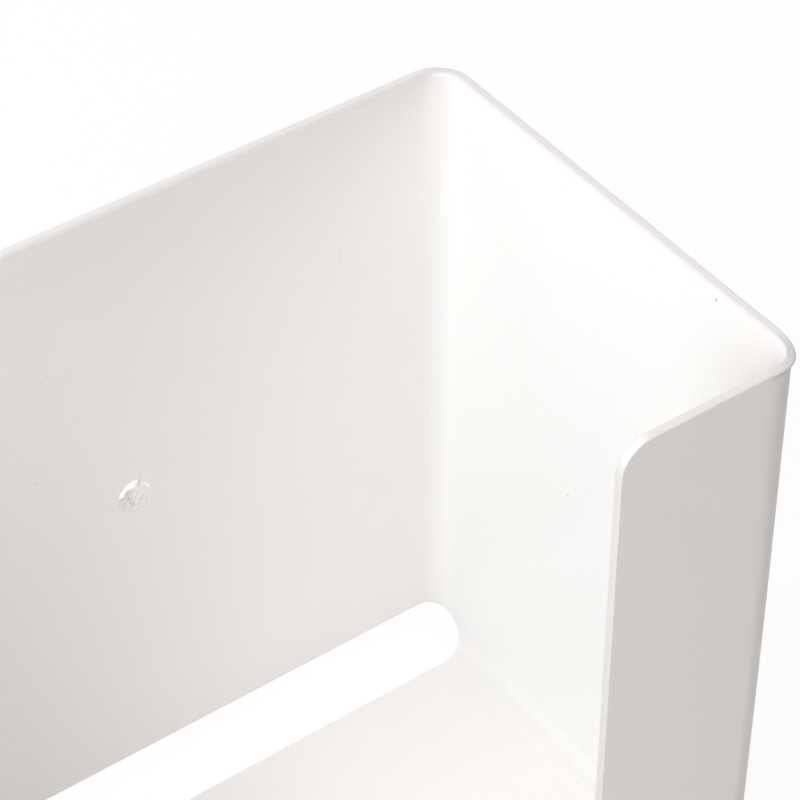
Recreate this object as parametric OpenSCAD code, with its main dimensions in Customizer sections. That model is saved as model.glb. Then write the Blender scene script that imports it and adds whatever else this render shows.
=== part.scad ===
// Wall dispenser for a box of disposable gloves, bent from one flat sheet.
// X runs across the width, Y runs from the front flanges back to the wall, Z is up.
// The origin is under the middle of the part, on the surface that the floor tabs touch.

/* [Overall size] */

// Width over the outside of the two side walls
width = 266; // [200:1:420]

// Depth from the front of the flanges to the face that lies on the wall
depth = 100; // [70:1:160]

// Height from the underside of the floor tabs to the top rim
height = 149; // [100:1:240]

/* [Sheet and bends] */

// Thickness of the sheet
sheet_t = 2; // [1.2:0.1:3]

// Outside radius of every bend
bend_r = 6.7; // [4:0.2:10]

// How far the slanted reliefs stay clear of the point where two bends would meet
relief_clear = 0.2; // [0.2:0.1:4]

/* [Front flanges] */

// Width of each front flange, from the outside of its side wall to its free edge
flange_w = 39; // [25:1:80]

// Radius on the free corners of the flanges
flange_corner_r = 6; // [2:0.5:12]

/* [Floor tabs] */

// Length of each floor tab, from the outside of its side wall to its free end
tab_l = 88; // [40:1:95]

// Radius on the free corners of the tabs
tab_corner_r = 6; // [2:0.5:12]

/* [Mounting holes] */

// Diameter of the two screw holes in the back wall
hole_d = 7.5; // [3:0.1:10]

// Distance between the centres of the two holes
hole_span = 121; // [60:1:170]

// Height of the hole centres above the underside of the floor tabs
hole_z = 81; // [40:1:90]

/* [Hidden] */

// Steps around a full circle
$fn = 128;

// How far a cutter runs past the sheet that it goes through
overcut = 1;

// Inside radius of every bend, from the same centre as the outside radius
bend_in_r = bend_r - sheet_t;

// Rise and run of each relief, from the inside corner that it opens
relief_run = 2 * bend_in_r + relief_clear;

// Distance from an outer face at which the relief ends on the sheet that lies across it
relief_end = sheet_t + relief_run;

// Width of the front opening, between the free edges of the flanges
window_w = width - 2 * flange_w;

// Width of the opening in the floor, between the free ends of the tabs
floor_gap_w = width - 2 * tab_l;

// Size of the tabs from their rear edge to their front edge
tab_d = depth - 2 * relief_end;

// Height of the lower edges of the back wall and of the flanges
lower_edge_z = relief_end;

// Plan of a block with four round corners, centred
module round_block(size_x, size_y, corner_r) {
    square([size_x - 2 * corner_r, size_y], center = true);
    square([size_x, size_y - 2 * corner_r], center = true);
    for (side_x = [-1, 1], side_y = [-1, 1])
        translate([side_x * (size_x / 2 - corner_r), side_y * (size_y / 2 - corner_r)])
            circle(corner_r);
}

// Closed ring of sheet with a bend at each corner
module bent_ring(size_x, size_y) {
    difference() {
        round_block(size_x, size_y, bend_r);
        round_block(size_x - 2 * sheet_t, size_y - 2 * sheet_t, bend_in_r);
    }
}

// What rounds off one square corner at the origin, on the side of +X and +Y
module corner_trim(corner_r) {
    difference() {
        translate([-overcut, -overcut])
            square(corner_r + overcut);
        translate([corner_r, corner_r])
            circle(corner_r);
    }
}

// Opening between two facing strips, whose free ends have rounded corners
module opening_outline(gap, low, high, corner_r) {
    translate([-gap / 2, low - overcut])
        square([gap, high - low + 2 * overcut]);
    for (side = [-1, 1]) {
        scale([side, 1])
            translate([gap / 2, low])
                corner_trim(corner_r);
        scale([side, 1])
            translate([gap / 2, high])
                mirror([0, 1])
                    corner_trim(corner_r);
    }
}

// Back wall, side walls and front flanges, joined by the four upright bends
module upright_strip() {
    translate([0, 0, bend_r])
        linear_extrude(height - bend_r)
            bent_ring(width, depth);
}

// Bends under the side walls, and the floor that they turn in
module floor_channel() {
    rotate([90, 0, 0])
        linear_extrude(depth - 2 * sheet_t, center = true)
            intersection() {
                translate([0, height / 2])
                    bent_ring(width, height);
                translate([-width / 2, 0])
                    square([width, bend_r]);
            }
}

// Front opening, with the rounded corners of both flanges
module front_window() {
    translate([0, -depth / 2 + sheet_t + overcut, 0])
        rotate([90, 0, 0])
            linear_extrude(sheet_t + 2 * overcut)
                opening_outline(window_w, lower_edge_z, height, flange_corner_r);
}

// Gap between the two floor tabs, with their rounded corners
module floor_gap() {
    translate([0, 0, -overcut])
        linear_extrude(sheet_t + 2 * overcut)
            opening_outline(floor_gap_w, -tab_d / 2, tab_d / 2, tab_corner_r);
}

// Relief along the lower rear edge: it frees the back wall from the tabs,
// and its slanted face crosses both bends, so the gap ends in a round corner
module edge_relief() {
    translate([-width / 2 - overcut, depth / 2, 0])
        rotate([90, 0, 90])
            linear_extrude(width + 2 * overcut)
                polygon([
                    [overcut, -overcut],
                    [overcut, relief_end],
                    [-sheet_t, relief_end],
                    [-relief_end, sheet_t],
                    [-relief_end, -overcut]
                ]);
}

// Screw hole through the back wall
module screw_hole() {
    translate([0, depth / 2 - sheet_t - overcut, hole_z])
        rotate([-90, 0, 0])
            cylinder(h = sheet_t + 2 * overcut, d = hole_d);
}

module bent_sheet() {
    color("whitesmoke")
        difference() {
            union() {
                upright_strip();
                floor_channel();
            }
            front_window();
            floor_gap();
            edge_relief();
            mirror([0, 1, 0])
                edge_relief();
            for (side = [-1, 1])
                translate([side * hole_span / 2, 0, 0])
                    screw_hole();
        }
}

bent_sheet();
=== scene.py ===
"""Looks of a disposable glove dispenser: one white plastic sheet, cut flat and bent to shape.

The sheet is drawn as a flat blank, cut along its outline, and then carried through its bends,
in the order in which a workshop makes it. Sizes are millimetres until a mesh is written.
"""

import logging
import math
from dataclasses import dataclass, field
from enum import Enum
from typing import Dict, List, Optional, Sequence, Tuple, Union

import bpy
import numpy as np
from mathutils import Matrix, Vector
from mathutils.geometry import delaunay_2d_cdt


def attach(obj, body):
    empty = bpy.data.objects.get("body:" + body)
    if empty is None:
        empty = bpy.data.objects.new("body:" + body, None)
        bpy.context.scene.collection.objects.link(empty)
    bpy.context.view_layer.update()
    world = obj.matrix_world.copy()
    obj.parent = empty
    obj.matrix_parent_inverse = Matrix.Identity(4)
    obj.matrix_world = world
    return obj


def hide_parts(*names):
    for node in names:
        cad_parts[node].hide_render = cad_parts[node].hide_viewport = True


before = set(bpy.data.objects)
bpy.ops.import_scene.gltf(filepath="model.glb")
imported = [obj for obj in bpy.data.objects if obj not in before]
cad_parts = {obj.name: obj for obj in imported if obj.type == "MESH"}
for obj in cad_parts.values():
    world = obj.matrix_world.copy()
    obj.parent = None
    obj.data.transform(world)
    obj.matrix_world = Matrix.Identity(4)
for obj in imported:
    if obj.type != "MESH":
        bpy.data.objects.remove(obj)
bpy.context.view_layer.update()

LOG = logging.getLogger("glove_dispenser")

MM = 0.001
SHEET_NODE = "bent_sheet"
ROOT_BODY = "root"
PHOTO_SIDE_PX = 800.0
SENSOR_MM = 36.0
TINY = 1e-12
TOUCH = 1e-6
COLOUR_MIX_INPUTS = (0, 6, 7)
COLOUR_MIX_RESULT = 2
WHITE = (1.0, 1.0, 1.0)

Pair = Tuple[float, float]
Triple = Tuple[float, float, float]
Socket = bpy.types.NodeSocket
Feed = Union[bpy.types.NodeSocket, bpy.types.Node, float, Tuple[float, ...]]


class Side(Enum):
    """Sides of the dispenser, seen from its front."""

    LEFT = -1
    RIGHT = 1


class CutMarks(Enum):
    """How a cutter's marks lie on a rim: across it, as a router leaves them, or round a hole."""

    ACROSS = 1
    ROUND = 2


class Face(Enum):
    """The two broad faces of the sheet: w is measured outward from its middle."""

    INNER = -1
    OUTER = 1


def smooth_step(low: float, high: float, x: np.ndarray) -> np.ndarray:
    """Rise from 0 at low to 1 at high along 3s^2 - 2s^3, with s the share of the way.

    Args:
        low: Value of x where the rise starts.
        high: Value of x where it ends.
        x: Where it is read.

    Returns:
        The rise at each x.
    """
    share = np.clip((x - low) / (high - low), 0.0, 1.0)
    return share * share * (3.0 - 2.0 * share)


def unit(vectors: np.ndarray) -> np.ndarray:
    """Vectors of length one along the given rows.

    Args:
        vectors: Rows of components.

    Returns:
        The rows divided by their lengths.
    """
    length = np.linalg.norm(vectors, axis=-1, keepdims=True)
    return vectors / np.maximum(length, TINY)


def arc_points(
    centre: Pair, radius: float, start: float, end: float, steps: int
) -> np.ndarray:
    """Points on an arc, centre + radius (cos a, sin a), with a from start to end in degrees.

    Args:
        centre: Centre of the arc.
        radius: Its radius.
        start: Angle of the first point.
        end: Angle of the last point.
        steps: Number of equal steps between them.

    Returns:
        An array of steps + 1 points.
    """
    angle = np.radians(np.linspace(start, end, steps + 1))
    return np.array(centre) + radius * np.column_stack((np.cos(angle), np.sin(angle)))


def tidy_loop(points: np.ndarray, gap: float = 0.02) -> np.ndarray:
    """Closed loop without points that repeat their neighbour.

    Args:
        points: The loop, one row per point.
        gap: Smallest distance kept between neighbours.

    Returns:
        The loop with the repeats taken out.
    """
    step = np.linalg.norm(points - np.roll(points, 1, axis=0), axis=1)
    return points[step > gap]


def loop_inward(loop: np.ndarray) -> np.ndarray:
    """Unit vectors into the area on the left of a closed loop, square to its run at each point.

    Args:
        loop: The loop, one row per point.

    Returns:
        One vector per point: the run from the neighbour before to the one after, turned left.
    """
    run = unit(np.roll(loop, -1, axis=0) - np.roll(loop, 1, axis=0))
    return np.column_stack((-run[:, 1], run[:, 0]))


def inside_loop(points: np.ndarray, loop: np.ndarray) -> np.ndarray:
    """Whether points lie inside a closed loop, by the parity of crossings of a ray along +u.

    Args:
        points: Points to test.
        loop: The closed loop.

    Returns:
        One truth value per point.
    """
    start, end = loop, np.roll(loop, -1, axis=0)
    v = points[:, 1:2]
    spans = (start[:, 1] > v) != (end[:, 1] > v)
    rise = end[:, 1] - start[:, 1]
    rise = np.where(np.abs(rise) < TINY, TINY, rise)
    crossing = start[:, 0] + (v - start[:, 1]) / rise * (end[:, 0] - start[:, 0])
    return (np.sum(spans & (points[:, 0:1] < crossing), axis=1) % 2) == 1


def loop_distance(points: np.ndarray, loop: np.ndarray) -> np.ndarray:
    """Shortest distance from points to the segments of a closed loop.

    Args:
        points: Points to measure from.
        loop: The closed loop.

    Returns:
        One distance per point.
    """
    start, run = loop, np.roll(loop, -1, axis=0) - loop
    length2 = np.maximum(np.sum(run * run, axis=1), TINY)
    offset = points[:, None, :] - start[None, :, :]
    share = np.clip(np.sum(offset * run[None, :, :], axis=2) / length2, 0.0, 1.0)
    nearest = offset - share[:, :, None] * run[None, :, :]
    return np.min(np.linalg.norm(nearest, axis=2), axis=1)


def toward(azimuth: float, elevation: float) -> Vector:
    """Unit vector that leads from the dispenser to a camera or lamp.

    Args:
        azimuth: 0 in front of the dispenser, growing toward its right, in degrees.
        elevation: Height above the floor's plane, in degrees.

    Returns:
        (sin a cos e, -cos a cos e, sin e).
    """
    turn, lift = math.radians(azimuth), math.radians(elevation)
    level = math.cos(lift)
    return Vector((math.sin(turn) * level, -math.cos(turn) * level, math.sin(lift)))


def put_in_scene(name: str, data: bpy.types.ID) -> bpy.types.Object:
    """Make an object of a mesh, lamp or camera, and link it to the scene.

    Args:
        name: Name of the object.
        data: What it shows.

    Returns:
        The new object.
    """
    item = bpy.data.objects.new(name, data)
    bpy.context.scene.collection.objects.link(item)
    return item


@dataclass
class SheetBlank:
    """The flat blank, before bending.

    u runs along the strip, from 0 at the middle of the back wall out to the flanges, and v is the
    height. Where u crosses an upright bend, it is measured along the middle of the sheet, and so
    is v below the bends that turn the floor tabs in. The *_steps are steps of arcs, and
    beside_bend holds the distances from a front bend at which the mesh has lines of its own.
    """

    width: float = 266.0
    depth: float = 100.0
    height: float = 149.0
    sheet_t: float = 2.0
    bend_r: float = 6.7
    relief_clear: float = 0.2
    low_drop: float = 0.7
    flange_w: float = 39.0
    flange_corner_r: float = 6.0
    tab_l: float = 88.0
    tab_corner_r: float = 6.0
    hole_d: float = 7.5
    hole_span: float = 121.0
    hole_z: float = 81.0
    bend_steps: int = 28
    tab_steps: int = 20
    flange_steps: int = 24
    beside_bend: Tuple[float, ...] = (0.4, 0.8, 1.2, 1.7, 2.2, 2.8, 3.4, 4.2, 5.0)

    @property
    def middle_r(self) -> float:
        """Radius of the middle of the sheet in a bend."""
        return self.bend_r - self.sheet_t / 2.0

    @property
    def bend_l(self) -> float:
        """Length of sheet that one bend takes up: a quarter turn at the middle radius."""
        return math.pi / 2.0 * self.middle_r

    @property
    def relief_end(self) -> float:
        """Distance from an outer face at which the corner relief ends."""
        return self.sheet_t + 2.0 * (self.bend_r - self.sheet_t) + self.relief_clear

    @property
    def rear_bend_u(self) -> float:
        """Where the back wall ends and its bend starts."""
        return self.width / 2.0 - self.bend_r

    @property
    def side_u(self) -> float:
        """Where the flat part of the side wall starts."""
        return self.rear_bend_u + self.bend_l

    @property
    def front_bend_u(self) -> float:
        """Where the flat part of the side wall ends."""
        return self.side_u + self.depth - 2.0 * self.bend_r

    @property
    def flange_u(self) -> float:
        """Where the flat part of the flange starts."""
        return self.front_bend_u + self.bend_l

    @property
    def end_u(self) -> float:
        """Free edge of the flange."""
        return self.flange_u + self.flange_w - self.bend_r

    @property
    def tab_v(self) -> float:
        """Where the flat part of a floor tab starts."""
        return self.bend_r - self.bend_l

    @property
    def end_v(self) -> float:
        """Free end of a floor tab."""
        return self.tab_v - (self.tab_l - self.bend_r)

    @property
    def low_v(self) -> float:
        """Lower edge of the walls: the photograph shows it low_drop under the relief's end."""
        return self.relief_end - self.low_drop

    def relief(self, corner: Pair, reach: Pair, steps: int = 56) -> np.ndarray:
        """Round relief in a corner of two bends: a quarter ellipse past their common corner.

        Args:
            corner: Where the two straight edges beside it would meet.
            reach: How far it goes past the bends' corner along u and v, with signs.
            steps: Number of equal steps.

        Returns:
            Points from the upper to the side edge: corner + (2 + sqrt 2) * reach * (cos a - 1,
            sin a - 1), with a from 90 degrees to 0.
        """
        axes = (2.0 + math.sqrt(2.0)) * np.array(reach)
        quarter = arc_points((0.0, 0.0), 1.0, 90.0, 0.0, steps)
        return np.array(corner) + axes * (quarter - 1.0)

    def straight(self, start: Pair, end: Pair, pitch: float = 9.0) -> np.ndarray:
        """Points along a straight edge, finer where it crosses a bend.

        Args:
            start: First point.
            end: Last point.
            pitch: Largest step on the flat.

        Returns:
            The points, with the lines at which bends start, stop and step added in order.
        """
        first, last = np.array(start, float), np.array(end, float)
        length = np.linalg.norm(last - first)
        shares = [np.linspace(0.0, 1.0, int(math.ceil(length / pitch)) + 1)]
        for axis, lines in ((0, self.bend_lines_u()), (1, self.bend_lines_v())):
            span = last[axis] - first[axis]
            if abs(span) > TOUCH:
                share = (lines - first[axis]) / span
                shares.append(share[(share > 0.0) & (share < 1.0)])
        share = np.unique(np.round(np.concatenate(shares), 7))
        return first + share[:, None] * (last - first)

    def bend_lines_u(self) -> np.ndarray:
        """Values of u at the steps of all four upright bends, and beside the front ones.

        Returns:
            The values in rising order.
        """
        rear = np.linspace(self.rear_bend_u, self.side_u, self.bend_steps + 1)
        front = np.linspace(self.front_bend_u, self.flange_u, self.bend_steps + 1)
        beside = np.array(self.beside_bend)
        right = np.concatenate((rear, front[0] - beside[::-1], front, front[-1] + beside))
        return np.concatenate((-right[::-1], right))

    def bend_lines_v(self) -> np.ndarray:
        """Values of v at the steps of the bends under the side walls."""
        return np.linspace(self.tab_v, self.bend_r, self.bend_steps + 1)

    def right_half(self) -> np.ndarray:
        """Right half of the outline, from the middle of the lower edge round to the top.

        It runs with the sheet on its left: back wall, rear relief, tab, front relief, flange, rim.

        Returns:
            The points in order.
        """
        low, tab_r, flange_r = self.low_v, self.tab_corner_r, self.flange_corner_r
        reach, rise = self.relief_end - self.bend_r, low - self.bend_r
        rear_edge, front_edge = self.side_u + reach, self.front_bend_u - reach
        rear_tab, front_tab, tab_turn = rear_edge + tab_r, front_edge - tab_r, self.end_v + tab_r
        flange_turn, rim_turn = self.end_u - flange_r, self.height - flange_r
        rear_relief = self.relief((rear_edge, low), (reach, rise))
        front_relief = self.relief((front_edge, low), (-reach, rise))[::-1]
        parts = [
            self.straight((0.0, low), rear_relief[0]),
            rear_relief,
            self.straight(rear_relief[-1], (rear_edge, tab_turn)),
            arc_points((rear_tab, tab_turn), tab_r, 180.0, 270.0, self.tab_steps),
            self.straight((rear_tab, self.end_v), (front_tab, self.end_v)),
            arc_points((front_tab, tab_turn), tab_r, 270.0, 360.0, self.tab_steps),
            self.straight((front_edge, tab_turn), front_relief[0]),
            front_relief,
            self.straight(front_relief[-1], (flange_turn, low)),
            arc_points((flange_turn, low + flange_r), flange_r, 270.0, 360.0, self.flange_steps),
            self.straight((self.end_u, low + flange_r), (self.end_u, rim_turn)),
            arc_points((flange_turn, rim_turn), flange_r, 0.0, 90.0, self.flange_steps),
            self.straight((flange_turn, self.height), (0.0, self.height)),
        ]
        return np.concatenate(parts)

    def outline(self) -> np.ndarray:
        """The whole outline, anticlockwise in (u, v), with the left half mirrored.

        Returns:
            The points in order.
        """
        right = self.right_half()
        left = right[::-1] * np.array([-1.0, 1.0])
        return tidy_loop(np.concatenate((right, left)))

    def hole(self, side: Side, steps: int = 72) -> np.ndarray:
        """Outline of one screw hole, clockwise, so that the sheet lies on its left.

        Args:
            side: Which of the two holes.
            steps: Number of points.

        Returns:
            The points in order.
        """
        centre = (side.value * self.hole_span / 2.0, self.hole_z)
        return arc_points(centre, self.hole_d / 2.0, 0.0, -360.0, steps)[:-1]


@dataclass
class BendMap:
    """Carries points of the flat blank to their place on the bent sheet.

    w is the distance outward from the middle of the sheet. The front bends are soft near the rim:
    their curvature rises and falls over a length 2 * ease, so that the middle of the bend lies a
    little inside a plain arc. At the free rim of each upright bend the hot sheet swelled into a
    thin lip, and its stretched outer side sank below its inner side. The inner side of the rear
    and the tab bends gets painted shade: a darker colour that stands in for shade there.
    """

    blank: SheetBlank
    zone: float = 5.0
    soft: float = 2.95
    soft_least: float = 0.15
    soft_fade: float = 62.0
    front_lip: float = 0.56
    rear_lip: float = 0.1
    lip_past: float = 2.4
    lip_sharp: float = 0.7
    lip_start: float = 0.32
    lip_end: float = 0.8
    lip_tail: float = 3.5
    crease: float = 0.12
    crease_at: float = 0.86
    crease_half: float = 0.27
    front_sink: float = 0.62
    rear_sink: float = 0.25
    sink_fade: float = 1.8
    # rear_bend_shade, rear_bend_shade_v, rear_bend_shade_lean, tab_bend_shade and
    # tab_bend_shade_lean set painted shade: a darker colour on the inner side of the rear and the
    # tab bends.
    rear_bend_shade: Pair = (0.35, 0.95)
    rear_bend_shade_v: Pair = (40.0, 145.0)
    rear_bend_shade_lean: float = 0.75
    tab_bend_shade: float = 0.8
    tab_bend_shade_lean: float = 1.4
    nodes: int = 40

    def __post_init__(self) -> None:
        """Find the abscissae and weights of the Gauss-Legendre rule for the bend integrals."""
        place, weight = np.polynomial.legendre.leggauss(self.nodes)
        self.rule = (place + 1.0) / 2.0, weight / 2.0

    def bells(self, u: np.ndarray) -> Tuple[np.ndarray, np.ndarray]:
        """Strength of what the rim does across the rear and the front bend.

        Args:
            u: Places along the strip.

        Returns:
            Two arrays of sin^2, each 1 in the middle of its bend. The rear one ends with the bend
            and the front one lip_past beyond it.
        """
        b = self.blank
        along = np.abs(u)
        rear = np.clip((along - b.rear_bend_u) / b.bend_l, 0.0, 1.0)
        past = self.lip_past
        front = np.clip((along - b.front_bend_u + past) / (b.bend_l + 2.0 * past), 0.0, 1.0)
        return np.sin(math.pi * rear) ** 2, np.sin(math.pi * front) ** 2

    def swell(self, u: np.ndarray, v: np.ndarray) -> np.ndarray:
        """Outward swelling of the sheet at the rim of a bend.

        Args:
            u: Places along the strip.
            v: Heights.

        Returns:
            The bell times a lip: 1 at the rim, mostly gone at lip_end below it and wholly so at
            lip_tail, each along a smooth step, of which the first has the share lip_sharp. Under
            the front lip the crease goes off.
        """
        below = self.blank.height - v
        sharp = 1.0 - smooth_step(self.lip_start, self.lip_end, below)
        tail = 1.0 - smooth_step(self.lip_start, self.lip_tail, below)
        rear, front = self.bells(u)
        share = self.lip_sharp * sharp + (1.0 - self.lip_sharp) * tail
        lip = (self.rear_lip * rear + self.front_lip * front) * share
        return lip - self.crease * self.fold(u, v)

    def fold(self, u: np.ndarray, v: np.ndarray) -> np.ndarray:
        """Share of the crease under the front lip, 1 at its deepest, which also sets its painted
        shade.

        Args:
            u: Places along the strip.
            v: Heights.

        Returns:
            The root of the front bell times exp(-((distance below the rim - crease_at) /
            crease_half)^2).
        """
        off = (self.blank.height - v - self.crease_at) / self.crease_half
        return np.sqrt(self.bells(u)[1]) * np.exp(-(off**2))

    def bend_shade_share(self, u: np.ndarray, v: np.ndarray) -> np.ndarray:
        """Share of the painted shade that darkens the inner side of a bend.

        Args:
            u: Places along the strip.
            v: Heights.

        Returns:
            sin^2 of pi * share^lean across the rear bend and across the tab bend, with the share
            of the way round. The first grows up the wall and leans toward the back wall, and the
            second leans toward the tab.
        """
        b = self.blank
        low, high = self.rear_bend_shade
        along = np.clip((np.abs(u) - b.rear_bend_u) / b.bend_l, 0.0, 1.0)
        down = np.clip((b.bend_r - v) / b.bend_l, 0.0, 1.0)
        rear = np.sin(math.pi * along**self.rear_bend_shade_lean) ** 2
        rear = rear * (low + (high - low) * smooth_step(*self.rear_bend_shade_v, v))
        return np.maximum(rear, self.tab_bend_shade * np.sin(math.pi * down**self.tab_bend_shade_lean) ** 2)

    def sinking(self, u: np.ndarray, v: np.ndarray, w: np.ndarray) -> np.ndarray:
        """Drop of the outer side of the rim in a bend, in millimetres.

        Args:
            u: Places along the strip.
            v: Heights.
            w: Distances outward from the middle of the sheet.

        Returns:
            The bell's share of the sink, growing from the inner to the outer face and fading
            down the sheet as exp(-(distance / sink_fade)^2).
        """
        b = self.blank
        share = np.clip(w / b.sheet_t + 0.5, 0.0, 1.0)
        fade = np.exp(-(((b.height - v) / self.sink_fade) ** 2))
        rear, front = self.bells(u)
        return (self.rear_sink * rear + self.front_sink * front) * share * fade

    def turned(self, s: np.ndarray, ease: np.ndarray) -> np.ndarray:
        """Heading gained on a soft bend after a run s from the start of its easing.

        Args:
            s: Run.
            ease: Half the length over which the curvature rises, and falls.

        Returns:
            (P(s) - P(s - length of the bend)) / middle_r, where P(x) is x^2 / (4 ease) up to
            2 ease and x - ease beyond it, and 0 before 0.
        """
        def part(x: np.ndarray) -> np.ndarray:
            """P of x, as above."""
            x = np.maximum(x, 0.0)
            return np.where(x < 2.0 * ease, x * x / (4.0 * ease), x - ease)

        return (part(s) - part(s - self.blank.bend_l)) / self.blank.middle_r

    def drift(self, s: np.ndarray, ease: np.ndarray) -> Tuple[np.ndarray, np.ndarray, np.ndarray]:
        """Where a soft bend leads: ahead, aside and the heading, after a run s.

        Args:
            s: Run from the start of the easing.
            ease: Half length of the easing.

        Returns:
            The integrals of cos and sin of the heading from 0 to s, and the heading at s.
        """
        place, weight = self.rule
        run = s[:, None] * place
        heading = self.turned(run, np.broadcast_to(ease[:, None], run.shape))
        return s * (np.cos(heading) @ weight), s * (np.sin(heading) @ weight), self.turned(s, ease)

    def front_line(
        self, along: np.ndarray, v: np.ndarray
    ) -> Tuple[np.ndarray, np.ndarray, np.ndarray]:
        """Middle of the sheet through the softened front bend, for places in its zone.

        The zone is the bend and a stretch on each side. The soft curve is set so that it leaves the
        side wall's plane and meets the flange's plane exactly, and the run is shortened to suit.

        Args:
            along: Places along the strip.
            v: Heights.

        Returns:
            How far the line has gone forward (-y) and inward (-x) from the start of the zone, and
            its heading gained.
        """
        b = self.blank
        ease = self.soft_least + self.soft * np.exp(-(((b.height - v) / self.soft_fade) ** 2))
        bend = b.bend_l + 2.0 * ease
        ahead_all, _, _ = self.drift(bend, ease)
        reach = self.zone + b.middle_r
        straight = reach - ahead_all
        stretch = (bend + 2.0 * straight) / (b.bend_l + 2.0 * self.zone)
        run = (along - (b.front_bend_u - self.zone)) * stretch
        inside = np.clip(run - straight, 0.0, bend)
        ahead, aside, heading = self.drift(inside, ease)
        ahead = ahead + np.minimum(run, straight)
        aside = aside + np.maximum(run - straight - bend, 0.0)
        return ahead, aside, heading

    def place(self, u: np.ndarray, v: np.ndarray, w: np.ndarray) -> np.ndarray:
        """Places of blank points on the bent sheet.

        The middle of the sheet runs along the back wall, turns a quarter at the rear bend, runs
        forward, turns again through the soft front bend and runs inward as the flange; w is added
        along its outward normal. Below the side wall the tab bend turns in a vertical plane.

        Args:
            u: Places along the strip.
            v: Heights.
            w: Distances outward from the middle of the sheet.

        Returns:
            Rows of x, y, z in millimetres.
        """
        b = self.blank
        side, along = np.where(u < 0.0, -1.0, 1.0), np.abs(u)
        sunk = self.sinking(u, v, w)
        w = w + self.swell(u, v)
        rear = np.clip((along - b.rear_bend_u) / b.middle_r, 0.0, math.pi / 2.0)
        x = np.minimum(along, b.rear_bend_u) + b.middle_r * np.sin(rear)
        y = b.depth / 2.0 - b.bend_r + b.middle_r * np.cos(rear)
        heading = rear.copy()
        y = y - np.clip(along - b.side_u, 0.0, b.front_bend_u - self.zone - b.side_u)
        bending = (along > b.front_bend_u - self.zone) & (along < b.flange_u + self.zone)
        ahead, aside, gained = self.front_line(along[bending], v[bending])
        y[bending] -= ahead
        x[bending] -= aside
        heading[bending] += gained
        past = along >= b.flange_u + self.zone
        y[past] = -b.depth / 2.0 + b.sheet_t / 2.0
        x[past] = b.width / 2.0 - b.bend_r - (along[past] - b.flange_u)
        heading[past] = math.pi
        drop = np.clip((b.bend_r - v) / b.middle_r, 0.0, math.pi / 2.0)
        on_side = (along > b.side_u - TOUCH) & (along < b.front_bend_u + TOUCH)
        drop = np.where(on_side, drop, 0.0)
        run_in = np.where(on_side, np.maximum(b.tab_v - v, 0.0), 0.0)
        swing = b.middle_r + w
        low = on_side & (v < b.bend_r)
        x = x + np.where(low, swing * np.cos(drop) - b.middle_r - run_in, w * np.sin(heading))
        y = y + np.where(low, 0.0, w * np.cos(heading))
        z = np.where(low, b.bend_r - swing * np.sin(drop), v - sunk)
        return np.column_stack((side * x, y, z))

    def partials(
        self, u: np.ndarray, v: np.ndarray, w: np.ndarray, step: float = 0.02
    ) -> Tuple[np.ndarray, np.ndarray, np.ndarray]:
        """How a point moves as u, v and w grow, by central differences.

        Args:
            u: Places along the strip.
            v: Heights.
            w: Distances outward from the middle of the sheet.
            step: How far to each side the differences reach.

        Returns:
            The derivatives along u, v and w.
        """
        along_u = self.place(u + step, v, w) - self.place(u - step, v, w)
        along_v = self.place(u, v + step, w) - self.place(u, v - step, w)
        along_w = self.place(u, v, w + step) - self.place(u, v, w - step)
        return along_u / (2.0 * step), along_v / (2.0 * step), along_w / (2.0 * step)


@dataclass
class RimProfile:
    """Section of the cut rim: two eased corners with a flat between them.

    Each corner is a quarter ellipse, of inset *_in along the face and *_w down the rim.
    """

    sheet_t: float
    outer_in: float
    outer_w: float
    inner_in: float
    inner_w: float
    marks: CutMarks = CutMarks.ACROSS
    steps: int = 7

    def inset(self, face: Face) -> float:
        """How far from the cut the given face ends."""
        return self.outer_in if face is Face.OUTER else self.inner_in

    def section(self) -> Tuple[np.ndarray, np.ndarray, np.ndarray]:
        """Inset from the outline, height w, and the direction in which the section runs.

        Returns:
            Three arrays from the outer face to the inner face. The direction has one row of
            (inset, w) for each point, along the ellipse there.
        """
        angle = np.linspace(0.0, math.pi / 2.0, self.steps + 1)
        half = self.sheet_t / 2.0
        sin, cos = np.sin(angle), np.cos(angle)
        outer = np.column_stack((-self.outer_in * cos, -self.outer_w * sin))
        inner = np.column_stack((self.inner_in * cos, -self.inner_w * sin))
        inner_inset, inner_height = self.inner_in * (1.0 - sin), self.inner_w * (1.0 - cos) - half
        inset = np.concatenate((self.outer_in * (1.0 - sin), inner_inset[::-1]))
        height = np.concatenate((half - self.outer_w * (1.0 - cos), inner_height[::-1]))
        return inset, height, unit(np.concatenate((outer, inner[::-1])))


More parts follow.
